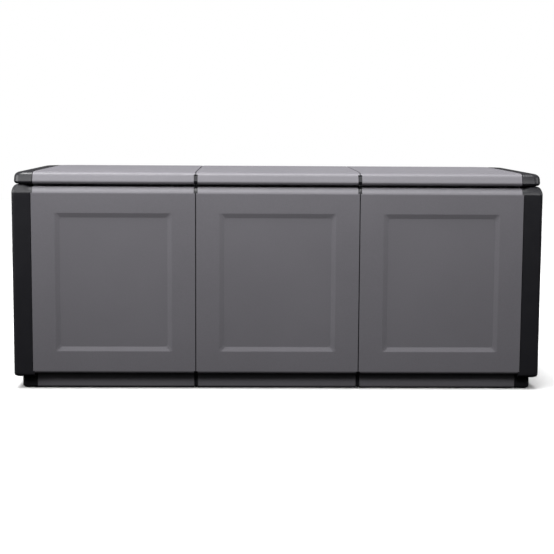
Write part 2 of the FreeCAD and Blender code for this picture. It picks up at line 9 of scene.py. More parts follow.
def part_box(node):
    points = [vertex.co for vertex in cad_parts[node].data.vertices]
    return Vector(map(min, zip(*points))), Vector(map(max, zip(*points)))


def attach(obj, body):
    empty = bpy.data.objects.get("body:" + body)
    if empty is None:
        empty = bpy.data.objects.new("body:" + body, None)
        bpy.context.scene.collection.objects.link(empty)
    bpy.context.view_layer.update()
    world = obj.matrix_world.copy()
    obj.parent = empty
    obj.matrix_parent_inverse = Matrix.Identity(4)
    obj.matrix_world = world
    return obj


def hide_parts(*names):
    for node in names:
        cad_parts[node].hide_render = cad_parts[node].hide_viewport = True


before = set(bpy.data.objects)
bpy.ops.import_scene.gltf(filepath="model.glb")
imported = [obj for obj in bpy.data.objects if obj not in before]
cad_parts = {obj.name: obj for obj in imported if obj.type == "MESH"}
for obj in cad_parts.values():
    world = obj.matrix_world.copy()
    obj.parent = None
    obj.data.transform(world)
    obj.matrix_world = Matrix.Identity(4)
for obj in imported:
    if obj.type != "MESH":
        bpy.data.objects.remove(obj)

bl_info = {
    "name": "Deck storage box",
    "version": (1, 0, 0),
    "blender": (4, 5, 0),
    "location": "View3D > Sidebar > Deck box",
    "description": "Builds the moulded shells, seam strips and finishes "
                   "of a long garden storage box",
    "category": "Add Mesh",
}

MM = 0.001
TOUCH = 0.001 * MM         # two places nearer than this are the same place
FAR = 1.0                  # beyond the box on any side
SHARP = math.radians(35)   # a bend sharper than this gets a moulded edge
SIDES = ("left", "right")
SIGN = {"left": -1, "right": 1}
MODULES = ("left", "middle", "right")
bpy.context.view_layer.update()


def linear(hex_colour):
    """Linear RGBA for an sRGB hex colour such as #7f7f7f."""
    channels = [int(hex_colour[place:place + 2], 16) / 255 for place in (1, 3, 5)]
    return tuple(c / 12.92 if c <= 0.04045 else ((c + 0.055) / 1.055) ** 2.4
                 for c in channels) + (1.0,)


# ---- Sizes and colours that a user would change ----

def length(name, description, default):
    return FloatProperty(name=name, description=description, default=default, unit="LENGTH")


class BoxWallSizes(bpy.types.PropertyGroup):
    """Shape of the walls and the base."""
    skin: length("Skin", "Thickness of every moulded wall", 3.0 * MM)
    corner_radius: length("Corner radius", "Upright corners of the end panels", 10.0 * MM)
    foot_radius: length("Foot radius", "Rolled-under bottom edge", 9.0 * MM)
    rim_height: length("Rim height", "Leaning band along the top", 14.0 * MM)
    rim_lean: length("Rim lean", "How far the band leans in", 10.5 * MM)
    rim_bend: length("Rim bend", "Height over which the face bends into the rim", 5.0 * MM)
    rim_edge_radius: length("Rim edge radius", "Top edge of the rim", 2.5 * MM)
    end_top_radius: length("End top radius", "Rounding along the top of the ends", 15.0 * MM)
    end_rise_run: length("End rise run", "Slope up to the higher top of the ends", 22.0 * MM)
    end_rise_stop: length("End rise stop", "Where the ends' higher top fades out", 150.0 * MM)
    rim_lip: length("Rim lip", "Turned-down edge round the mouth", 15.0 * MM)
    notch: length("Notch", "Half-width of the slot where a strip's end shows", 5.0 * MM)
    rim_notch: length("Rim notch height", "Height of the slot in the rim", 16.0 * MM)
    foot_notch: length("Foot notch height", "Height of the slot in the foot", 8.0 * MM)
    fit: length("Fit", "Clearance beside a strip or a tab", 0.2 * MM)
    recess: length("Strip recess", "How far a strip lies behind the faces beside it", 1.8 * MM)
    rib: length("Rib", "Thickness of the ribs", 2.5 * MM)
    rib_depth: length("Rib depth", "Depth of the ribs inside the walls", 12.0 * MM)
    rib_margin: length("Rib margin", "Seam to the upright rib beside it", 28.0 * MM)
    base_foot_radius: length("Base foot radius", "Rolled-under edge of the plinth", 8.0 * MM)
    base_return: length("Base return", "Width of the plinth's turned-in foot", 14.0 * MM)
    edge_radius: length("Edge radius", "Rounding of every moulded edge", 0.7 * MM)


class BoxFieldSizes(bpy.types.PropertyGroup):
    """Sunken field of every wall panel."""
    side_margin: length("Side margin", "Seam to the outer edge of the field", 61.9 * MM)
    top_margin: length("Top margin", "Top of the walls to the field", 67.8 * MM)
    bottom_margin: length("Bottom margin", "Foot of the front panels to the field", 60.7 * MM)
    slope: length("Slope", "Width of the sloping border", 12.0 * MM)
    depth: length("Depth", "How far the field is sunk", 3.2 * MM)
    corner_radius: length("Corner radius", "Rounding where two slopes meet", 5.0 * MM)
    edge_radius: length("Edge softness", "Rounding along the slopes", 4.0 * MM)


class BoxLidSizes(bpy.types.PropertyGroup):
    """Shape of the lid."""
    gap: length("Gap", "Open line between the walls and the lid", 6.0 * MM)
    front_corner: length("Front corner radius", "Front corners seen from above", 20.0 * MM)
    back_corner: length("Back corner radius", "Back corners seen from above", 12.0 * MM)
    roll_radius: length("Roll radius", "Rolled-under bottom edge", 8.0 * MM)
    front_lean: length("Front lean", "How far the front face leans back", 10.5 * MM)
    front_top_radius: length("Front top radius", "Rounding along the top of the front", 9.0 * MM)
    end_top_radius: length("End top radius", "Rounding along the top of the ends", 14.0 * MM)
    back_top_radius: length("Back top radius", "Rounding along the top of the back", 5.0 * MM)
    shoulder: length("Shoulder", "Drop of the crowned front and ends", 2.0 * MM)
    crown_width: length("Crown width", "How far in the crown reaches", 105.0 * MM)
    edge_return: length("Edge return", "Width of the turned-in bottom edge", 14.0 * MM)
    nose_depth: length("Nose depth", "Depth of the notch in the edge at a seam", 9.0 * MM)
    rib_depth: length("Rib depth", "Depth of the ribs under the lid", 12.0 * MM)
    rain_rib_gap: length("Rain rib gap", "Hanging rib to the edge of the mouth", 3.0 * MM)
    hinge_slot: length("Hinge slot", "Clearance of the lid's edge beside a hinge", 1.5 * MM)
    boss_radius: length("Boss radius", "Bosses that take the hinge screws", 4.5 * MM)


class BoxFinish(bpy.types.PropertyGroup):
    """Colours and grain."""
    grey: FloatVectorProperty(name="Grey", description="Colour of the panels and lid",
                              default=linear("#807e84")[:3], subtype="COLOR", min=0, max=1)
    black: FloatVectorProperty(name="Black", description="Colour of the ends and strips",
                               default=linear("#28282c")[:3], subtype="COLOR", min=0, max=1)
    grain: length("Grain", "Size of the moulded grain, drawn coarser than the real 0.8 mm",
                  2.4 * MM)
    bevel_segments: IntProperty(name="Edge segments", description="Steps round a moulded edge",
                                default=2, min=1, max=4)


class BoxStage(bpy.types.PropertyGroup):
    """Place, aim and lens of the camera."""
    distance: length("Distance", "Camera in front of the box's face", 3.448)
    height: length("Height", "Camera above the ground", 0.699)
    aside: length("Aside", "Camera to the right of the box's middle", -0.0672)
    tilt: FloatProperty(name="Tilt", description="Camera's downward tilt",
                        default=math.radians(6.63), subtype="ANGLE")
    turn: FloatProperty(name="Turn", description="Camera's turn to the right",
                        default=math.radians(1.09), subtype="ANGLE")
    roll: FloatProperty(name="Roll", description="Camera's roll", default=math.radians(0.33),
                        subtype="ANGLE")
    lens: FloatProperty(name="Lens", description="Focal length on a 36 mm frame", default=86.5)


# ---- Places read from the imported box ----

def low(node):
    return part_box(node)[0]


def high(node):
    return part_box(node)[1]


def seam_places():
    """The two seams between the modules."""
    return [(high(f"front_panel_{MODULES[n]}").x + low(f"front_panel_{MODULES[n + 1]}").x) / 2
            for n in range(2)]


def seam_gap():
    return low("front_panel_middle").x - high("front_panel_left").x


def seam_notches(corner, opposite):
    """The notches of a module beside its seams: where each is cut, and its two sides."""
    notch = bpy.context.scene.box_walls.notch
    for seam in seam_places():
        for cut, start, end in ((seam - notch, seam - notch, seam),
                                (seam + notch, seam, seam + notch)):
            if corner.x < cut < opposite.x:
                yield cut, start, end


def module_end():
    """Outer seam of the outer modules."""
    return high("front_panel_right").x + seam_gap() / 2


def mouth():
    """Half-width and half-depth of the mouth of the box."""
    half_depth = -high("front_panel_middle").y
    rim = high("end_panel_right").y - half_depth
    return high("end_panel_right").x - rim, half_depth


# ---- General mesh work ----

def block_mesh(corner, opposite):
    """A bmesh holding one block between two corners."""
    bm = bmesh.new()
    add_block(bm, corner, opposite)
    return bm


def add_block(bm, corner, opposite):
    """Add a closed block between two corners."""
    corner, opposite = Vector(corner), Vector(opposite)
    place = Matrix.Translation((corner + opposite) / 2)
    size = Matrix.Diagonal((opposite - corner).to_4d())
    bmesh.ops.create_cube(bm, size=1, matrix=place @ size.to_4x4())


def slice_at(bm, axis, place, clear_above=False, clear_below=False, faces=None):
    """Cut some faces, or all, along a plane across the axis, and clear one side if asked."""
    normal = Vector((axis == "x", axis == "y", axis == "z"))
    faces = bm.faces[:] if faces is None else faces
    edges = list({edge for face in faces for edge in face.edges})
    verts = list({vertex for face in faces for vertex in face.verts})
    bmesh.ops.bisect_plane(bm, geom=verts + edges + faces, dist=TOUCH, plane_co=normal * place,
                           plane_no=normal, clear_outer=clear_above, clear_inner=clear_below)


def keep_between(bm, axis, start, end):
    slice_at(bm, axis, start, clear_below=True)
    slice_at(bm, axis, end, clear_above=True)


def keep_end(bm, side, start):
    """Keep what lies beyond a place: to the left when side is -1, to the right when it is 1."""
    keep_between(bm, "x", *sorted((side * start, side * FAR)))


def remove_within(bm, corner, opposite):
    """Delete the faces whose middles lie between two corners."""
    faces = [face for face in bm.faces
             if all(a < c < b for a, c, b in zip(corner, face.calc_center_median(), opposite))]
    bmesh.ops.delete(bm, geom=faces, context="FACES")


def level_faces(bm, height):
    """Faces that lie flat at one height."""
    return [face for face in bm.faces if all(abs(v.co.z - height) < TOUCH for v in face.verts)]


def open_level(bm, height, half_x, y_low, y_high):
    """Cut a rectangular opening in the flat face at one height."""
    for x in (-half_x, half_x):
        slice_at(bm, "x", x, faces=level_faces(bm, height))
    for y in (y_low, y_high):
        slice_at(bm, "y", y, faces=level_faces(bm, height))
    near = MM / 10
    remove_within(bm, (-half_x, y_low, height - near), (half_x, y_high, height + near))


def round_uprights(bm, radius_of):
    """Round every upright corner by the radius that its place gives."""
    corner_steps = 7
    uprights = {}
    for edge in bm.edges:
        if abs(edge.verts[0].co.z - edge.verts[1].co.z) > MM:
            uprights.setdefault(radius_of(edge.verts[0].co), []).append(edge)
    for radius, edges in uprights.items():
        soften(bm, edges, radius, corner_steps)


def rolled(height, radius):
    """How far a rounding stands back from its face, at a height above where it starts."""
    if height >= radius:
        return 0
    return radius - math.sqrt(radius ** 2 - (radius - max(0, height)) ** 2)


def arc_levels(start, radius, steps=6):
    """Heights that divide a rounding evenly; a negative radius goes down from the start."""
    return [start + radius * (1 - math.cos(math.pi / 2 * step / steps))
            for step in range(1, steps + 1)]


def eased(share):
    """Smooth step from 0 to 1."""
    share = min(1, max(0, share))
    return share * share * (3 - 2 * share)


def soften(bm, edges, radius, segments):
    """Round some edges."""
    bmesh.ops.bevel(bm, geom=edges, offset=radius, offset_type="OFFSET", segments=segments,
                    profile=0.5, affect="EDGES", material=-1, clamp_overlap=True)


def thicken(bm, skin):
    """Give a sheet its thickness on its inner side, evenly round its bends."""
    mesh = bpy.data.meshes.new("sheet")
    bm.to_mesh(mesh)
    sheet = bpy.data.objects.new("sheet", mesh)
    bpy.context.scene.collection.objects.link(sheet)
    wall = sheet.modifiers.new("wall", "SOLIDIFY")
    wall.thickness = skin
    wall.offset = -1
    wall.use_even_offset = True
    evaluated = sheet.evaluated_get(bpy.context.evaluated_depsgraph_get())
    bm.clear()
    bm.from_mesh(evaluated.to_mesh())
    evaluated.to_mesh_clear()
    bpy.data.objects.remove(sheet)
    bpy.data.meshes.remove(mesh)


def finish_piece(name, bm, body, material, nodes):
    """Make the mesh a piece of the box that stands for its CAD nodes."""
    bmesh.ops.dissolve_degenerate(bm, dist=TOUCH, edges=bm.edges[:])
    mesh = bpy.data.meshes.new(name)
    bm.to_mesh(mesh)
    bm.free()
    mesh.shade_smooth()
    mesh.materials.append(material)
    piece = bpy.data.objects.new(name, mesh)
    scene = bpy.context.scene
    scene.collection.objects.link(piece)
    edge = piece.modifiers.new("moulded edge", "BEVEL")
    edge.width = scene.box_walls.edge_radius
    edge.segments = scene.box_finish.bevel_segments
    edge.limit_method = "ANGLE"
    edge.angle_limit = SHARP
    edge.use_clamp_overlap = True
    edge.miter_outer = "MITER_ARC"
    normals = piece.modifiers.new("even shading", "WEIGHTED_NORMAL")
    normals.keep_sharp = True
    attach(piece, body)
    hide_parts(*nodes)
    return piece


# ---- Materials ----

def add_node(tree, kind, settings=None, values=None):
    """Add one shader node with its settings, and fill or link its inputs."""
    node = tree.nodes.new(kind)
    for key, value in (settings or {}).items():
        setattr(node, key, value)
    for key, value in (values or {}).items():
        if isinstance(value, bpy.types.NodeSocket):
            tree.links.new(value, node.inputs[key])
        else:
            node.inputs[key].default_value = value
    return node


def new_material(name):
    """A new material and its empty tree, or an existing one and None in place of its tree."""
    material = bpy.data.materials.get(name)
    if material:
        return material, None
    material = bpy.data.materials.new(name)
    material.use_nodes = True
    material.node_tree.nodes.clear()
    return material, material.node_tree


def moulded_polypropylene(name, colour, roughness, grain_height):
    """Injection-moulded polypropylene: a satin skin with a fine spark-eroded grain, slightly
    uneven in tone where the melt flowed, and painted shade that darkens its seams and recesses."""
    material, tree = new_material(name)
    if tree is None:
        return material
    grain_size = bpy.context.scene.box_finish.grain
    flow_size = 220 * MM
    scuff_size = 35 * MM
    # reach of the painted shade in seams, gaps and recesses
    painted_shade_reach = 12 * MM
    darkest, lightest = 0.93, 1.07
    smoother, rougher = 0.05, 0.06
    place = add_node(tree, "ShaderNodeTexCoord").outputs["Object"]
    grain = add_node(tree, "ShaderNodeTexNoise", values={
        "Vector": place, "Scale": 1 / grain_size, "Detail": 2.0, "Roughness": 0.6}).outputs[0]
    flow = add_node(tree, "ShaderNodeTexNoise", values={
        "Vector": place, "Scale": 1 / flow_size, "Detail": 3.0, "Roughness": 0.55}).outputs[0]
    scuff = add_node(tree, "ShaderNodeTexNoise", values={
        "Vector": place, "Scale": 1 / scuff_size, "Detail": 6.0, "Roughness": 0.7}).outputs[0]
    dark = [channel * darkest for channel in colour] + [1.0]
    light = [min(1.0, channel * lightest) for channel in colour] + [1.0]
    tone = add_node(tree, "ShaderNodeMix", {"data_type": "RGBA"},
                    {0: flow, 6: dark, 7: light}).outputs[2]
    speck = add_node(tree, "ShaderNodeMapRange", values={
        "Value": grain, "From Min": 0.3, "From Max": 0.7,
        "To Min": 0.96, "To Max": 1.04}).outputs[0]
    tone = add_node(tree, "ShaderNodeMix", {"data_type": "RGBA", "blend_type": "MULTIPLY"},
                    {0: 1.0, 6: tone, 7: speck}).outputs[2]
    # Painted shade: ambient occlusion darkens the colour in seams, gaps and recesses, down to
    # about a third
    painted_shade = add_node(tree, "ShaderNodeAmbientOcclusion", {"samples": 4},
                      {"Distance": painted_shade_reach}).outputs["AO"]
    painted_shade_tone = add_node(tree, "ShaderNodeMapRange", values={
        "Value": painted_shade, "From Min": 0.05, "From Max": 0.6,
        "To Min": 0.35, "To Max": 1.0}).outputs[0]
    tone = add_node(tree, "ShaderNodeMix", {"data_type": "RGBA", "blend_type": "MULTIPLY"},
                    {0: 1.0, 6: tone, 7: painted_shade_tone}).outputs[2]
    gloss = add_node(tree, "ShaderNodeMapRange", values={
        "Value": scuff, "From Min": 0.3, "From Max": 0.7,
        "To Min": roughness - smoother, "To Max": roughness + rougher}).outputs[0]
    bump = add_node(tree, "ShaderNodeBump", values={
        "Height": grain, "Strength": 0.35, "Distance": grain_height}).outputs[0]
    shader = add_node(tree, "ShaderNodeBsdfPrincipled", values={
        "Base Color": tone, "Roughness": gloss, "IOR": 1.49, "Normal": bump})
    add_node(tree, "ShaderNodeOutputMaterial", values={"Surface": shader.outputs[0]})
    return material


def grey_polypropylene():
    """Grey panels: satin, cool grey, quite matt."""
    return moulded_polypropylene("grey_moulded_polypropylene", bpy.context.scene.box_finish.grey,
                                 roughness=0.5, grain_height=0.12 * MM)


def black_polypropylene():
    """Black ends and strips: the same moulding, glossier and with a slightly deeper grain."""
    return moulded_polypropylene("black_moulded_polypropylene", bpy.context.scene.box_finish.black,
                                 roughness=0.35, grain_height=0.16 * MM)


def zinc_plated_steel():
    """Zinc-plated steel pins and screws: pale bluish metal, unevenly dulled in small spots."""
    material, tree = new_material("zinc_plated_steel")
    if tree is None:
        return material
    spot_size = 1.5 * MM
    place = add_node(tree, "ShaderNodeTexCoord").outputs["Object"]
    spots = add_node(tree, "ShaderNodeTexNoise", values={
        "Vector": place, "Scale": 1 / spot_size, "Detail": 3.0}).outputs[0]
    tone = add_node(tree, "ShaderNodeMix", {"data_type": "RGBA"},
                    {0: spots, 6: linear("#a9abad"), 7: linear("#c9ccd0")}).outputs[2]
    gloss = add_node(tree, "ShaderNodeMapRange", values={
        "Value": spots, "To Min": 0.25, "To Max": 0.45}).outputs[0]
    shader = add_node(tree, "ShaderNodeBsdfPrincipled", values={
        "Base Color": tone, "Metallic": 1.0, "Roughness": gloss})
    add_node(tree, "ShaderNodeOutputMaterial", values={"Surface": shader.outputs[0]})
    return material


# ---- Walls ----

def rim_offset(height):
    """How far the leaning rim stands back, at a height above the bend."""
    sizes = bpy.context.scene.box_walls
    slope = sizes.rim_lean / sizes.rim_height
    if height > sizes.rim_bend:
        return slope * height
    return slope * max(0, height + sizes.rim_bend) ** 2 / (4 * sizes.rim_bend)


def wall_sheet(inset, bottom, foot_opening, has_brow=False):
    """Outer surface of the whole ring of walls, moved in by an inset: rolled foot, leaning rim,
    rounded end tops, mouth with its turned-down lip. A brow makes the ends' tops higher."""
    sizes = bpy.context.scene.box_walls
    top = high("front_panel_middle").z - inset
    bend = high("front_panel_middle").z - sizes.rim_height
    opposite = high("end_panel_right") - Vector((inset, inset, 0))
    bm = block_mesh((-opposite.x, -opposite.y, bottom), (opposite.x, opposite.y, top))
    round_uprights(bm, lambda place: sizes.corner_radius)
    levels = arc_levels(bottom, sizes.foot_radius)
    levels += arc_levels(top, -sizes.rim_edge_radius, steps=4)
    levels += arc_levels(top, -sizes.end_top_radius)
    levels += [bend + share * sizes.rim_bend for share in (-1, -0.5, 0, 0.5, 1)]
    for level in levels:
        slice_at(bm, "z", level)
    for vertex in bm.verts:
        z = vertex.co.z
        foot = rolled(z - bottom, sizes.foot_radius)
        end = foot + rolled(top - z, sizes.end_top_radius)
        front = foot + rim_offset(z - bend) + rolled(top - z, sizes.rim_edge_radius)
        vertex.co.x -= math.copysign(end, vertex.co.x)
        vertex.co.y -= math.copysign(front, vertex.co.y)
    mouth_x, mouth_y = mouth()
    open_level(bm, bottom, foot_opening[0], -foot_opening[1], foot_opening[1])
    open_level(bm, top, mouth_x, -mouth_y, mouth_y)
    if has_brow:
        raise_brow(bm, bend, top)
    rim = [edge for edge in bm.edges if edge.is_boundary and edge.verts[0].co.z > bend]
    lip = bmesh.ops.extrude_edge_only(bm, edges=rim)["geom"]
    lip = [part for part in lip if isinstance(part, bmesh.types.BMVert)]
    bmesh.ops.translate(bm, verts=lip, vec=(0, 0, -sizes.rim_lip))
    return bm


def raise_brow(bm, bend, top):
    """Lift the top of both ends, with a slope beside the seam and another before the hinges."""
    sizes = bpy.context.scene.box_walls
    start = module_end()
    run = sizes.end_rise_run
    steps = 5
    for step in range(steps + 1):
        for axis, place in (("x", start + run * step / steps), ("x", -start - run * step / steps),
                            ("y", sizes.end_rise_stop + run * step / steps)):
            rim = [face for face in bm.faces if face.calc_center_median().z > bend]
            slice_at(bm, axis, place, faces=rim)
    rise = high("end_panel_right").z - high("front_panel_middle").z
    for vertex in bm.verts:
        share = eased((vertex.co.z - bend) / (top - bend))
        along = eased((abs(vertex.co.x) - start) / run)
        back = 1 - eased((vertex.co.y - sizes.end_rise_stop) / run)
        vertex.co.z += rise * share * along * back


def sink_field(bm, axis, face_place, centre, half_span, bottom, top):
    """Press the sunken field into the face that lies across an axis."""
    sizes = bpy.context.scene.box_field
    along = "x" if axis == "y" else "y"
    for side in (-1, 1):
        slice_at(bm, along, centre + side * half_span)
    slice_at(bm, "z", bottom)
    slice_at(bm, "z", top)

    def inside(point):
        across = point.y if along == "y" else point.x
        level = point.x if axis == "x" else point.y
        return (abs(level - face_place) < MM and abs(across - centre) < half_span
                and bottom < point.z < top)

    faces = [face for face in bm.faces if inside(face.calc_center_median())]
    if len(faces) > 1:
        faces = bmesh.ops.dissolve_faces(bm, faces=faces)["region"]
    field = faces[0]
    bmesh.ops.inset_individual(bm, faces=[field], thickness=sizes.slope, depth=-sizes.depth,
                               use_even_offset=True)
    slopes = [face for edge in field.edges for face in edge.link_faces if face is not field]
    mitres = [edge for edge in bm.edges
              if sum(face in slopes for face in edge.link_faces) == 2]
    soften(bm, mitres, sizes.corner_radius, segments=4)
    gentle = [edge for edge in bm.edges
              if bends_gently(edge) and all(bottom - MM < v.co.z < top + MM for v in edge.verts)
              and near_field(edge, axis, face_place, sizes.depth)]
    soften(bm, gentle, sizes.edge_radius, segments=3)


def bends_gently(edge):
    """True for an edge where two faces meet at a small angle, as a field's slope does."""
    least, most = math.radians(12), math.radians(40)
    return len(edge.link_faces) == 2 and least < edge.calc_face_angle() < most


def near_field(edge, axis, face_place, depth):
    """True for an edge that lies between the face and the bottom of its field."""
    places = [v.co.x if axis == "x" else v.co.y for v in edge.verts]
    return all(abs(place - face_place) < depth + MM for place in places)


def field_heights():
    """Bottom and top of every sunken field."""
    sizes = bpy.context.scene.box_field
    return (low("front_panel_middle").z + sizes.bottom_margin,
            high("front_panel_middle").z - sizes.top_margin)


def wall_panel(side, node):
    """Front panel when side is -1, or back panel: skin, sunken field and two upright ribs."""
    sizes = bpy.context.scene.box_walls
    corner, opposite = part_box(node)
    bm = wall_sheet(0, corner.z, mouth())
    keep_between(bm, "x", corner.x, opposite.x)
    slice_at(bm, "y", 0, clear_above=side < 0, clear_below=side > 0)
    gap = seam_gap() / 2
    rim_z = opposite.z - sizes.rim_notch
    foot_z = corner.z + sizes.foot_notch
    slots = ((corner.x, corner.x + sizes.notch - gap),
             (opposite.x - sizes.notch + gap, opposite.x))
    slice_at(bm, "z", rim_z)
    slice_at(bm, "z", foot_z)
    slice_at(bm, "x", slots[0][1])
    slice_at(bm, "x", slots[1][0])
    for start, end in slots:
        remove_within(bm, (start, -FAR, rim_z), (end, FAR, FAR))
        remove_within(bm, (start, -FAR, -FAR), (end, FAR, foot_z))
    face = low("front_panel_middle").y if side < 0 else high("back_panel_middle").y
    centre = (corner.x + opposite.x) / 2
    half_span = (opposite.x - corner.x) / 2 + gap - bpy.context.scene.box_field.side_margin
    sink_field(bm, "y", face, centre, half_span, *field_heights())
    thicken(bm, sizes.skin)
    start, end = sorted((face - side * sizes.skin / 2,
                         face - side * (sizes.skin + sizes.rib_depth)))
    for rib_x in (corner.x + sizes.rib_margin, opposite.x - sizes.rib_margin):
        add_block(bm, (rib_x - sizes.rib / 2, start, corner.z + sizes.foot_radius),
                  (rib_x + sizes.rib / 2, end, opposite.z - sizes.rim_height - sizes.rim_bend))
    return finish_piece(f"{node}_moulding", bm, "box", grey_polypropylene(), [node])


def end_panel(name):
    """Black end, wrapped round on to the front and the back, with a tab in each notch."""
    sizes = bpy.context.scene.box_walls
    node = f"end_panel_{name}"
    side = SIGN[name]
    corner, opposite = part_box(node)
    base_low, base_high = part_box(f"base_end_{name}")
    opening = (max(-base_low.x, base_high.x) + sizes.fit, base_high.y + sizes.fit)
    bm = wall_sheet(0, corner.z, opening, has_brow=True)
    edge = module_end() + sizes.fit
    tab = module_end() - sizes.notch + sizes.fit
    keep_end(bm, side, tab)
    foot_z = low("front_panel_middle").z + sizes.foot_notch - sizes.fit
    rim_z = high("front_panel_middle").z - sizes.rim_notch + sizes.fit
    slice_at(bm, "x", side * edge)
    slice_at(bm, "z", foot_z)
    slice_at(bm, "z", rim_z)
    x_low, x_high = sorted((side * tab, side * edge))
    remove_within(bm, (x_low, -FAR, foot_z), (x_high, FAR, rim_z))
    half_span = opposite.y - bpy.context.scene.box_field.side_margin
    sink_field(bm, "x", corner.x if side < 0 else opposite.x, 0, half_span, *field_heights())
    thicken(bm, sizes.skin)
    tongue = corner.x if side > 0 else opposite.x
    x_low, x_high = sorted((tongue, side * (edge + sizes.skin)))
    for y in (corner.y + sizes.skin, opposite.y - 2 * sizes.skin):
        add_block(bm, (x_low, y, corner.z + 2 * sizes.foot_radius),
                  (x_high, y + sizes.skin, rim_z - sizes.skin))
    return finish_piece(f"{node}_moulding", bm, "box", black_polypropylene(),
                        [node])


def wall_strip(name, side, node):
    """Black strip in a seam of the front, or of the back when side is 1: a flat behind the
    panels, a web in the seam, and an end that shows at the rim and at the foot."""
    sizes = bpy.context.scene.box_walls
    seam = seam_places()[SIDES.index(name)]
    corner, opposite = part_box(node)
    bm = wall_sheet(sizes.recess, corner.z, mouth())
    half = sizes.notch - sizes.fit
    keep_between(bm, "x", seam - half, seam + half)
    slice_at(bm, "y", 0, clear_above=side < 0, clear_below=side > 0)
    rim_z = high("front_panel_middle").z - sizes.rim_notch + sizes.fit
    foot_z = low("front_panel_middle").z + sizes.foot_notch - sizes.fit
    slice_at(bm, "z", foot_z)
    slice_at(bm, "z", rim_z)
    remove_within(bm, (-FAR, -FAR, foot_z), (FAR, FAR, rim_z))
    thicken(bm, sizes.skin)
    outer = corner.y if side < 0 else opposite.y
    inner = outer - side * (sizes.skin - sizes.recess)
    behind = inner - side * sizes.skin
    web = seam_gap() / 2 - sizes.fit
    add_block(bm, (seam - web, min(outer, inner), foot_z - sizes.skin),
              (seam + web, max(outer, inner), rim_z + sizes.skin))
    add_block(bm, (corner.x, min(inner, behind), corner.z + sizes.foot_radius),
              (opposite.x, max(inner, behind), rim_z - sizes.skin))
    return finish_piece(f"{node}_strip", bm, "box", black_polypropylene(), [node])


# ---- Base ----

def base_sheet():
    """Outer surface of the base, rolled under and turned in along the ground."""
    sizes = bpy.context.scene.box_walls
    corner, opposite = low("base_end_left"), high("base_end_right")
    bm = block_mesh(corner, opposite)
    round_uprights(bm, lambda place: sizes.corner_radius)
    for level in arc_levels(corner.z, sizes.base_foot_radius):
        slice_at(bm, "z", level)
    for vertex in bm.verts:
        roll = rolled(vertex.co.z - corner.z, sizes.base_foot_radius)
        vertex.co.x -= math.copysign(roll, vertex.co.x)
        vertex.co.y -= math.copysign(roll, vertex.co.y)
    open_level(bm, corner.z, opposite.x - sizes.base_return, corner.y + sizes.base_return,
               opposite.y - sizes.base_return)
    return bm


def floor_panel(name):
    """Grey floor of one module with its plinth, and ribs underneath."""
    sizes = bpy.context.scene.box_walls
    node = f"floor_panel_{name}"
    corner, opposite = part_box(node)
    bm = base_sheet()
    keep_between(bm, "x", corner.x, opposite.x)
    face = opposite.y - sizes.base_return
    slice_at(bm, "y", face)
    slice_at(bm, "y", -face)
    for cut, start, end in seam_notches(corner, opposite):
        slice_at(bm, "x", cut)
        for y_low, y_high in ((-FAR, -face), (face, FAR)):
            remove_within(bm, (start, y_low, -FAR), (end, y_high, opposite.z - sizes.skin))
    thicken(bm, sizes.skin)
    inner = opposite.y - sizes.base_foot_radius
    top = opposite.z - sizes.skin / 2
    centre = (low(f"front_panel_{name}").x + high(f"front_panel_{name}").x) / 2
    rib_margin = 40 * MM
    span = high("front_panel_middle").x + seam_gap() / 2 - rib_margin
    for share in (-1, 0, 1):
        x = centre + share * span / 2
        y = share * opposite.y / 2
        add_block(bm, (x - sizes.rib / 2, -inner, corner.z), (x + sizes.rib / 2, inner, top))
        add_block(bm, (centre - span, y - sizes.rib / 2, corner.z),
                  (centre + span, y + sizes.rib / 2, top))
    return finish_piece(f"{node}_moulding", bm, "box", grey_polypropylene(), [node])


def base_end(name):
    """Black end of the base."""
    sizes = bpy.context.scene.box_walls
    node = f"base_end_{name}"
    side = SIGN[name]
    start = high("floor_panel_right").x + sizes.fit
    bm = base_sheet()
    keep_end(bm, side, start)
    thicken(bm, sizes.skin)
    corner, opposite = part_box(node)
    tongue = opposite.x if side < 0 else corner.x
    x_low, x_high = sorted((tongue, side * (start + sizes.skin)))
    add_block(bm, (x_low, corner.y + 2 * sizes.skin, opposite.z - 2 * sizes.skin),
              (x_high, opposite.y - 2 * sizes.skin, opposite.z - sizes.skin))
    return finish_piece(f"{node}_moulding", bm, "box", black_polypropylene(),
                        [node])


# ---- Lid ----

def crown_drop(point, front, half_width):
    """How far the lid's top lies below its highest point, near the front and the ends."""
    sizes = bpy.context.scene.box_lid
    drops = []
    for distance in (point.y - front, half_width - abs(point.x)):
        share = min(1, max(0, distance / sizes.crown_width))
        drops.append(sizes.shoulder * (1 - share) ** 2)
    return math.hypot(*drops)


def lid_sheet(inset):
    """Outer surface of the whole lid, moved in by an inset: crowned at the front and the ends,
    rounded along the top, rolled under along the bottom."""
    sizes = bpy.context.scene.box_lid
    bottom = high("front_panel_middle").z + sizes.gap + inset
    top = high("lid_panel_middle").z - inset
    half_x = high("lid_end_cap_right").x - inset
    front = low("lid_panel_middle").y + inset
    back = high("lid_panel_middle").y - inset
    bm = block_mesh((-half_x, front, bottom), (half_x, back, top))
    round_uprights(bm, lambda place: sizes.front_corner if place.y < 0 else sizes.back_corner)
    levels = arc_levels(bottom, sizes.roll_radius)
    for radius in (sizes.front_top_radius, sizes.end_top_radius, sizes.back_top_radius):
        levels += arc_levels(top, -radius, steps=5)
    for level in levels:
        slice_at(bm, "z", level)
    for vertex in bm.verts:
        z = vertex.co.z
        roll = rolled(z - bottom, sizes.roll_radius)
        rise = max(0, z - bottom - sizes.roll_radius) / (top - bottom - sizes.roll_radius)
        if vertex.co.y < 0:
            vertex.co.y += (roll + sizes.front_lean * rise
                            + rolled(top - z, sizes.front_top_radius))
        else:
            vertex.co.y -= roll + rolled(top - z, sizes.back_top_radius)
        end = roll + rolled(top - z, sizes.end_top_radius)
        vertex.co.x -= math.copysign(end, vertex.co.x)
    crown_lid(bm, bottom, top, front, half_x)
    edge = sizes.edge_return - inset
    open_level(bm, bottom, half_x - edge, front + edge, back - edge)
    return bm


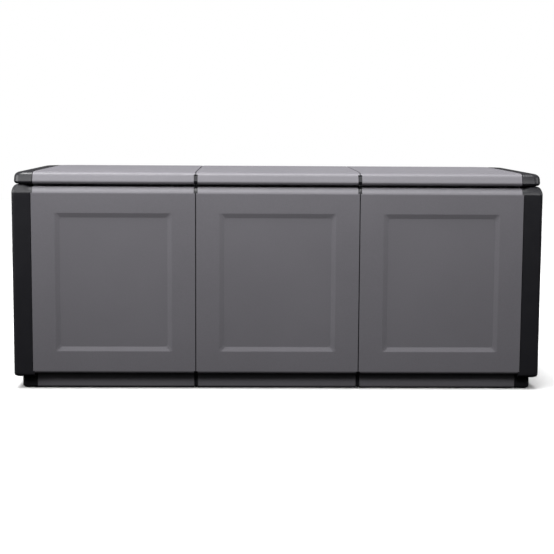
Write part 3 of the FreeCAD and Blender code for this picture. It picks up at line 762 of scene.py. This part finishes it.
def crown_lid(bm, bottom, top, front, half_x):
    """Let the top fall away gently towards the front and the ends."""
    sizes = bpy.context.scene.box_lid
    steps = 5
    for step in range(1, steps + 1):
        reach = sizes.crown_width * step / steps
        slice_at(bm, "y", front + reach, faces=level_faces(bm, top))
        slice_at(bm, "x", half_x - reach, faces=level_faces(bm, top))
        slice_at(bm, "x", reach - half_x, faces=level_faces(bm, top))
    for vertex in bm.verts:
        share = max(0, vertex.co.z - bottom) / (top - bottom)
        drop = crown_drop(vertex.co, front, half_x)
        vertex.co.z -= drop * share ** 2


def lid_panel(name):
    """Grey lid panel with its ribs and its hanging rain rib, cut away round the hinge."""
    walls = bpy.context.scene.box_walls
    sizes = bpy.context.scene.box_lid
    node = f"lid_panel_{name}"
    corner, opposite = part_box(node)
    bm = lid_sheet(0)
    keep_between(bm, "x", corner.x, opposite.x)
    front, back = corner.y + sizes.nose_depth, opposite.y - sizes.nose_depth
    for nose, y_low, y_high in ((front, -FAR, front), (back, back, FAR)):
        slice_at(bm, "y", nose)
        for cut, start, end in seam_notches(corner, opposite):
            slice_at(bm, "x", cut)
            remove_within(bm, (start, y_low, -FAR), (end, y_high, FAR))
    bracket_low, bracket_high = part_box(f"hinge_bracket_{name}")
    slot = sizes.hinge_slot
    slot_top = bracket_high.z + slot
    x_low, x_high = bracket_low.x - slot, bracket_high.x + slot
    slice_at(bm, "x", x_low)
    slice_at(bm, "x", x_high)
    slice_at(bm, "z", slot_top)
    remove_within(bm, (x_low, opposite.y - sizes.edge_return, -FAR), (x_high, FAR, slot_top))
    thicken(bm, walls.skin)
    lid_ribs(bm, name)
    return finish_piece(f"{node}_moulding", bm, "lid", grey_polypropylene(), [node])


def lid_ribs(bm, name):
    """Ribs under a lid panel, the hanging rain rib and the bosses of the hinge arm."""
    walls = bpy.context.scene.box_walls
    sizes = bpy.context.scene.box_lid
    corner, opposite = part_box(f"lid_panel_{name}")
    arm_low, arm_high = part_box(f"hinge_arm_{name}")
    centre = (arm_low.x + arm_high.x) / 2
    crown_room = 1.3 * walls.skin
    rib_margin = 13 * walls.skin
    top = opposite.z - crown_room
    rib_low = opposite.z - walls.skin - sizes.rib_depth
    rain = -mouth()[1] + sizes.rain_rib_gap
    span = (high("lid_panel_middle").x - low("lid_panel_middle").x) / 2 - rib_margin
    rib_step = span / 2.5
    cross_rib_step = high("end_panel_right").y / 2
    add_block(bm, (corner.x, rain, corner.z), (opposite.x, rain + walls.skin, top))
    for share in (-2, -1, 1, 2):
        x = centre + share * rib_step
        add_block(bm, (x - walls.rib / 2, rain, rib_low),
                  (x + walls.rib / 2, opposite.y - sizes.edge_return, top))
    for share in (-1, 0, 1):
        y = share * cross_rib_step
        add_block(bm, (centre - span, y - walls.rib / 2, rib_low),
                  (centre + span, y + walls.rib / 2, top))
    screw_y = (low("hinge_arm_screws").y + high("hinge_arm_screws").y) / 2
    screw_step = (arm_high.x - arm_low.x) / 2 - 2 * sizes.boss_radius + MM
    for side in (-1, 1):
        place = Matrix.Translation((centre + side * screw_step, screw_y, (arm_high.z + top) / 2))
        bmesh.ops.create_cone(bm, cap_ends=True, segments=24, radius1=sizes.boss_radius,
                              radius2=sizes.boss_radius, depth=top - arm_high.z, matrix=place)


def lid_end_cap(name):
    """Black end of the lid with its own rain rib."""
    walls = bpy.context.scene.box_walls
    sizes = bpy.context.scene.box_lid
    node = f"lid_end_cap_{name}"
    side = SIGN[name]
    corner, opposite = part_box(node)
    start = high("lid_panel_right").x + seam_gap() / 2 + walls.fit
    bm = lid_sheet(0)
    keep_end(bm, side, start)
    thicken(bm, walls.skin)
    mouth_x, mouth_y = mouth()
    rib_x = side * (mouth_x - sizes.rain_rib_gap)
    x_low, x_high = sorted((rib_x, rib_x - side * walls.skin))
    rim = high("end_panel_right").y - mouth_y
    crown_room = 1.5 * walls.skin
    top = high("lid_panel_middle").z - crown_room
    add_block(bm, (x_low, -mouth_y + sizes.rain_rib_gap, corner.z), (x_high, mouth_y - rim, top))
    tongue = corner.x if side > 0 else opposite.x
    x_low, x_high = sorted((tongue, side * (start + walls.skin)))
    flat_top = high("lid_panel_middle").z - walls.skin - sizes.shoulder / 2
    add_block(bm, (x_low, -mouth_y + 2 * sizes.edge_return, flat_top - walls.skin),
              (x_high, opposite.y - 2 * sizes.edge_return, flat_top))
    return finish_piece(f"{node}_moulding", bm, "lid", black_polypropylene(),
                        [node])


def lid_strip(name):
    """Black strip in a seam of the lid, with an end that shows in the front and the back edge."""
    walls = bpy.context.scene.box_walls
    sizes = bpy.context.scene.box_lid
    node = f"lid_joiner_{name}"
    seam = seam_places()[SIDES.index(name)]
    corner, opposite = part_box(node)
    bm = lid_sheet(walls.recess)
    half = walls.notch - walls.fit
    web = seam_gap() / 2 - walls.fit
    keep_between(bm, "x", seam - half, seam + half)
    slice_at(bm, "x", seam - web)
    slice_at(bm, "x", seam + web)
    y_low = low("lid_panel_middle").y + sizes.nose_depth - walls.fit
    y_high = high("lid_panel_middle").y - sizes.nose_depth + walls.fit
    slice_at(bm, "y", y_low)
    slice_at(bm, "y", y_high)
    remove_within(bm, (seam - half, y_low, -FAR), (seam - web, y_high, FAR))
    remove_within(bm, (seam + web, y_low, -FAR), (seam + half, y_high, FAR))
    thicken(bm, walls.skin)
    flat_top = high("lid_panel_middle").z - walls.skin
    rain = -mouth()[1] + sizes.rain_rib_gap
    add_block(bm, (corner.x, low("lid_panel_left").y + sizes.crown_width, flat_top - walls.skin),
              (opposite.x, opposite.y - sizes.edge_return, flat_top))
    add_block(bm, (seam - web, y_low, corner.z),
              (seam + web, rain - sizes.rain_rib_gap, flat_top - sizes.shoulder))
    return finish_piece(f"{node}_strip", bm, "lid", black_polypropylene(), [node])


# ---- Operators ----

class BuildPiece(bpy.types.Operator):
    """Shared options of the operators below."""
    bl_options = {"REGISTER", "UNDO"}


class BOX_OT_wall_panels(BuildPiece):
    """Build the six grey wall panels"""
    bl_idname = "deck_box.wall_panels"
    bl_label = "Wall panels"

    def execute(self, context):
        for name in MODULES:
            wall_panel(-1, f"front_panel_{name}")
            wall_panel(1, f"back_panel_{name}")
        return {"FINISHED"}


class BOX_OT_end_panels(BuildPiece):
    """Build the two black end panels"""
    bl_idname = "deck_box.end_panels"
    bl_label = "End panels"

    def execute(self, context):
        for name in SIDES:
            end_panel(name)
        return {"FINISHED"}


class BOX_OT_wall_strips(BuildPiece):
    """Build the black strips in the seams of the walls"""
    bl_idname = "deck_box.wall_strips"
    bl_label = "Wall strips"

    def execute(self, context):
        for name in SIDES:
            wall_strip(name, -1, f"front_joiner_{name}")
            wall_strip(name, 1, f"back_joiner_{name}")
        return {"FINISHED"}


class BOX_OT_base(BuildPiece):
    """Build the floors, the plinth and its black ends"""
    bl_idname = "deck_box.base"
    bl_label = "Base"

    def execute(self, context):
        for name in MODULES:
            floor_panel(name)
        for name in SIDES:
            base_end(name)
        return {"FINISHED"}


class BOX_OT_lid(BuildPiece):
    """Build the lid's panels, end caps and seam strips"""
    bl_idname = "deck_box.lid"
    bl_label = "Lid"

    def execute(self, context):
        for name in MODULES:
            lid_panel(name)
        for name in SIDES:
            lid_end_cap(name)
            lid_strip(name)
        return {"FINISHED"}


class BOX_OT_fittings(BuildPiece):
    """Give the hinges, pins, screws and floor strips their finishes"""
    bl_idname = "deck_box.fittings"
    bl_label = "Fittings"

    def execute(self, context):
        for node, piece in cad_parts.items():
            if piece.hide_render:
                continue
            steel = node.startswith("hinge_pin") or node.endswith("screws")
            finish = zinc_plated_steel() if steel else black_polypropylene()
            piece.data.materials.clear()
            piece.data.materials.append(finish)
        return {"FINISHED"}


class BOX_OT_stage(BuildPiece):
    """Set the floor, the lights and the camera"""
    bl_idname = "deck_box.stage"
    bl_label = "Stage"

    def execute(self, context):
        make_floor()
        make_lights(context.scene)
        make_camera(context.scene)
        context.scene.view_settings.view_transform = "Standard"
        return {"FINISHED"}


# ---- Stage ----

def make_floor():
    """Pale floor, wide enough for every view. It throws no light back on to the box, so that the
    front darkens towards the ground."""
    half_width = 8.0
    bm = bmesh.new()
    bmesh.ops.create_grid(bm, x_segments=1, y_segments=1, size=half_width)
    mesh = bpy.data.meshes.new("floor")
    bm.to_mesh(mesh)
    bm.free()
    floor = bpy.data.objects.new("floor", mesh)
    bpy.context.scene.collection.objects.link(floor)
    material, tree = new_material("pale_floor")
    shader = add_node(tree, "ShaderNodeBsdfPrincipled", values={
        "Base Color": linear("#f2f2f2"), "Roughness": 0.8})
    add_node(tree, "ShaderNodeOutputMaterial", values={"Surface": shader.outputs[0]})
    mesh.materials.append(material)
    floor.visible_diffuse = False
    floor.visible_glossy = False


def aimed(light, place, target):
    """Put a light in its place, facing a target, unseen by the camera."""
    light.location = place
    light.rotation_mode = "QUATERNION"
    light.rotation_quaternion = (Vector(target) - Vector(place)).to_track_quat("-Z", "Y")
    light.visible_camera = False
    bpy.context.scene.collection.objects.link(light)


def area_light(name, place, target, size, power):
    """One soft rectangular light that faces a target, and the object it hangs from."""
    data = bpy.data.lights.new(name, "AREA")
    data.shape = "RECTANGLE"
    data.size, data.size_y = size
    data.energy = power
    light = bpy.data.objects.new(name, data)
    aimed(light, place, target)
    return light


def sky_light(name, place, strength, spread):
    """Even light from far overhead, aimed at the middle of the box's foot."""
    data = bpy.data.lights.new(name, "SUN")
    data.energy = strength
    data.angle = spread
    aimed(bpy.data.objects.new(name, data), place, (0, 0, 0))


def make_lights(scene):
    """Even light from overhead, a long soft box above and in front, a soft box at each side
    and behind, and a pale room that is dim below. The one behind lights the back without
    glaring on the lid."""
    sky_light("ceiling", place=(-0.3, -0.1, 3.0), strength=3.6, spread=math.radians(30))
    area_light("front_box", place=(-0.15, -1.02, 1.08), target=(-0.05, -0.26, 0.42),
               size=(2.6, 0.35), power=10.5)
    area_light("left_box", place=(-2.6, -0.7, 1.5), target=(-0.69, -0.2, 0.5),
               size=(1.2, 1.2), power=30)
    area_light("right_box", place=(2.6, -0.7, 1.5), target=(0.69, -0.2, 0.5),
               size=(1.2, 1.2), power=12)
    behind = area_light("back_box", place=(0.4, 2.6, 1.6), target=(0, 0.26, 0.35),
                        size=(2.4, 1.2), power=40)
    behind.visible_glossy = False
    world = bpy.data.worlds.new("pale_room")
    world.use_nodes = True
    tree = world.node_tree
    tree.nodes.clear()
    direction = add_node(tree, "ShaderNodeTexCoord").outputs["Generated"]
    height = add_node(tree, "ShaderNodeSeparateXYZ", values={"Vector": direction}).outputs["Z"]
    glow = add_node(tree, "ShaderNodeMapRange", values={
        "Value": height, "From Min": -0.1, "From Max": 1.0,
        "To Min": 0.0, "To Max": 0.24}).outputs[0]
    seen = add_node(tree, "ShaderNodeLightPath").outputs["Is Camera Ray"]
    lighting = add_node(tree, "ShaderNodeBackground", values={"Strength": glow})
    backdrop = add_node(tree, "ShaderNodeBackground", values={"Strength": 1.0})
    for background in (lighting, backdrop):
        background.inputs["Color"].default_value = (1, 1, 1, 1)
    mixed = add_node(tree, "ShaderNodeMixShader", values={
        0: seen, 1: lighting.outputs[0], 2: backdrop.outputs[0]})
    add_node(tree, "ShaderNodeOutputWorld", values={"Surface": mixed.outputs[0]})
    scene.world = world


def make_camera(scene):
    """Camera in front of the box, a little above its lid."""
    stage = scene.box_stage
    data = bpy.data.cameras.new("camera")
    data.lens = stage.lens
    data.sensor_width = 36     # millimetres
    data.clip_end = 100
    camera = bpy.data.objects.new("camera", data)
    place = Matrix.Translation((stage.aside, low("end_panel_left").y - stage.distance,
                                stage.height))
    turn = Matrix.Rotation(-stage.turn, 4, "Z")
    tilt = Matrix.Rotation(math.pi / 2 - stage.tilt, 4, "X")
    roll = Matrix.Rotation(stage.roll, 4, "Z")
    camera.matrix_world = place @ turn @ tilt @ roll
    scene.collection.objects.link(camera)
    scene.camera = camera


# ---- Panel and registration ----

class BOX_PT_panel(bpy.types.Panel):
    """Buttons of the deck box, in the order they are used"""
    bl_label = "Deck box"
    bl_idname = "BOX_PT_panel"
    bl_space_type = "VIEW_3D"
    bl_region_type = "UI"
    bl_category = "Deck box"

    def draw(self, context):
        for group in (context.scene.box_walls, context.scene.box_field, context.scene.box_lid,
                      context.scene.box_finish, context.scene.box_stage):
            section = self.layout.box()
            for key in group.bl_rna.properties.keys():
                if key not in ("rna_type", "name"):
                    section.prop(group, key)
        for operator in OPERATORS:
            self.layout.operator(operator.bl_idname)


GROUPS = {"box_walls": BoxWallSizes, "box_field": BoxFieldSizes, "box_lid": BoxLidSizes,
          "box_finish": BoxFinish, "box_stage": BoxStage}
OPERATORS = (BOX_OT_wall_panels, BOX_OT_end_panels, BOX_OT_wall_strips, BOX_OT_base, BOX_OT_lid,
             BOX_OT_fittings, BOX_OT_stage)


def register():
    for name, group in GROUPS.items():
        bpy.utils.register_class(group)
        setattr(bpy.types.Scene, name, PointerProperty(type=group))
    for operator in OPERATORS:
        bpy.utils.register_class(operator)
    bpy.utils.register_class(BOX_PT_panel)


def unregister():
    bpy.utils.unregister_class(BOX_PT_panel)
    for operator in reversed(OPERATORS):
        bpy.utils.unregister_class(operator)
    for name, group in reversed(GROUPS.items()):
        delattr(bpy.types.Scene, name)
        bpy.utils.unregister_class(group)


def main():
    """Build everything in order."""
    register()
    bpy.ops.deck_box.wall_panels()
    bpy.ops.deck_box.end_panels()
    bpy.ops.deck_box.wall_strips()
    bpy.ops.deck_box.base()
    bpy.ops.deck_box.lid()
    bpy.ops.deck_box.fittings()
    bpy.ops.deck_box.stage()


if __name__ == "__main__":
    main()
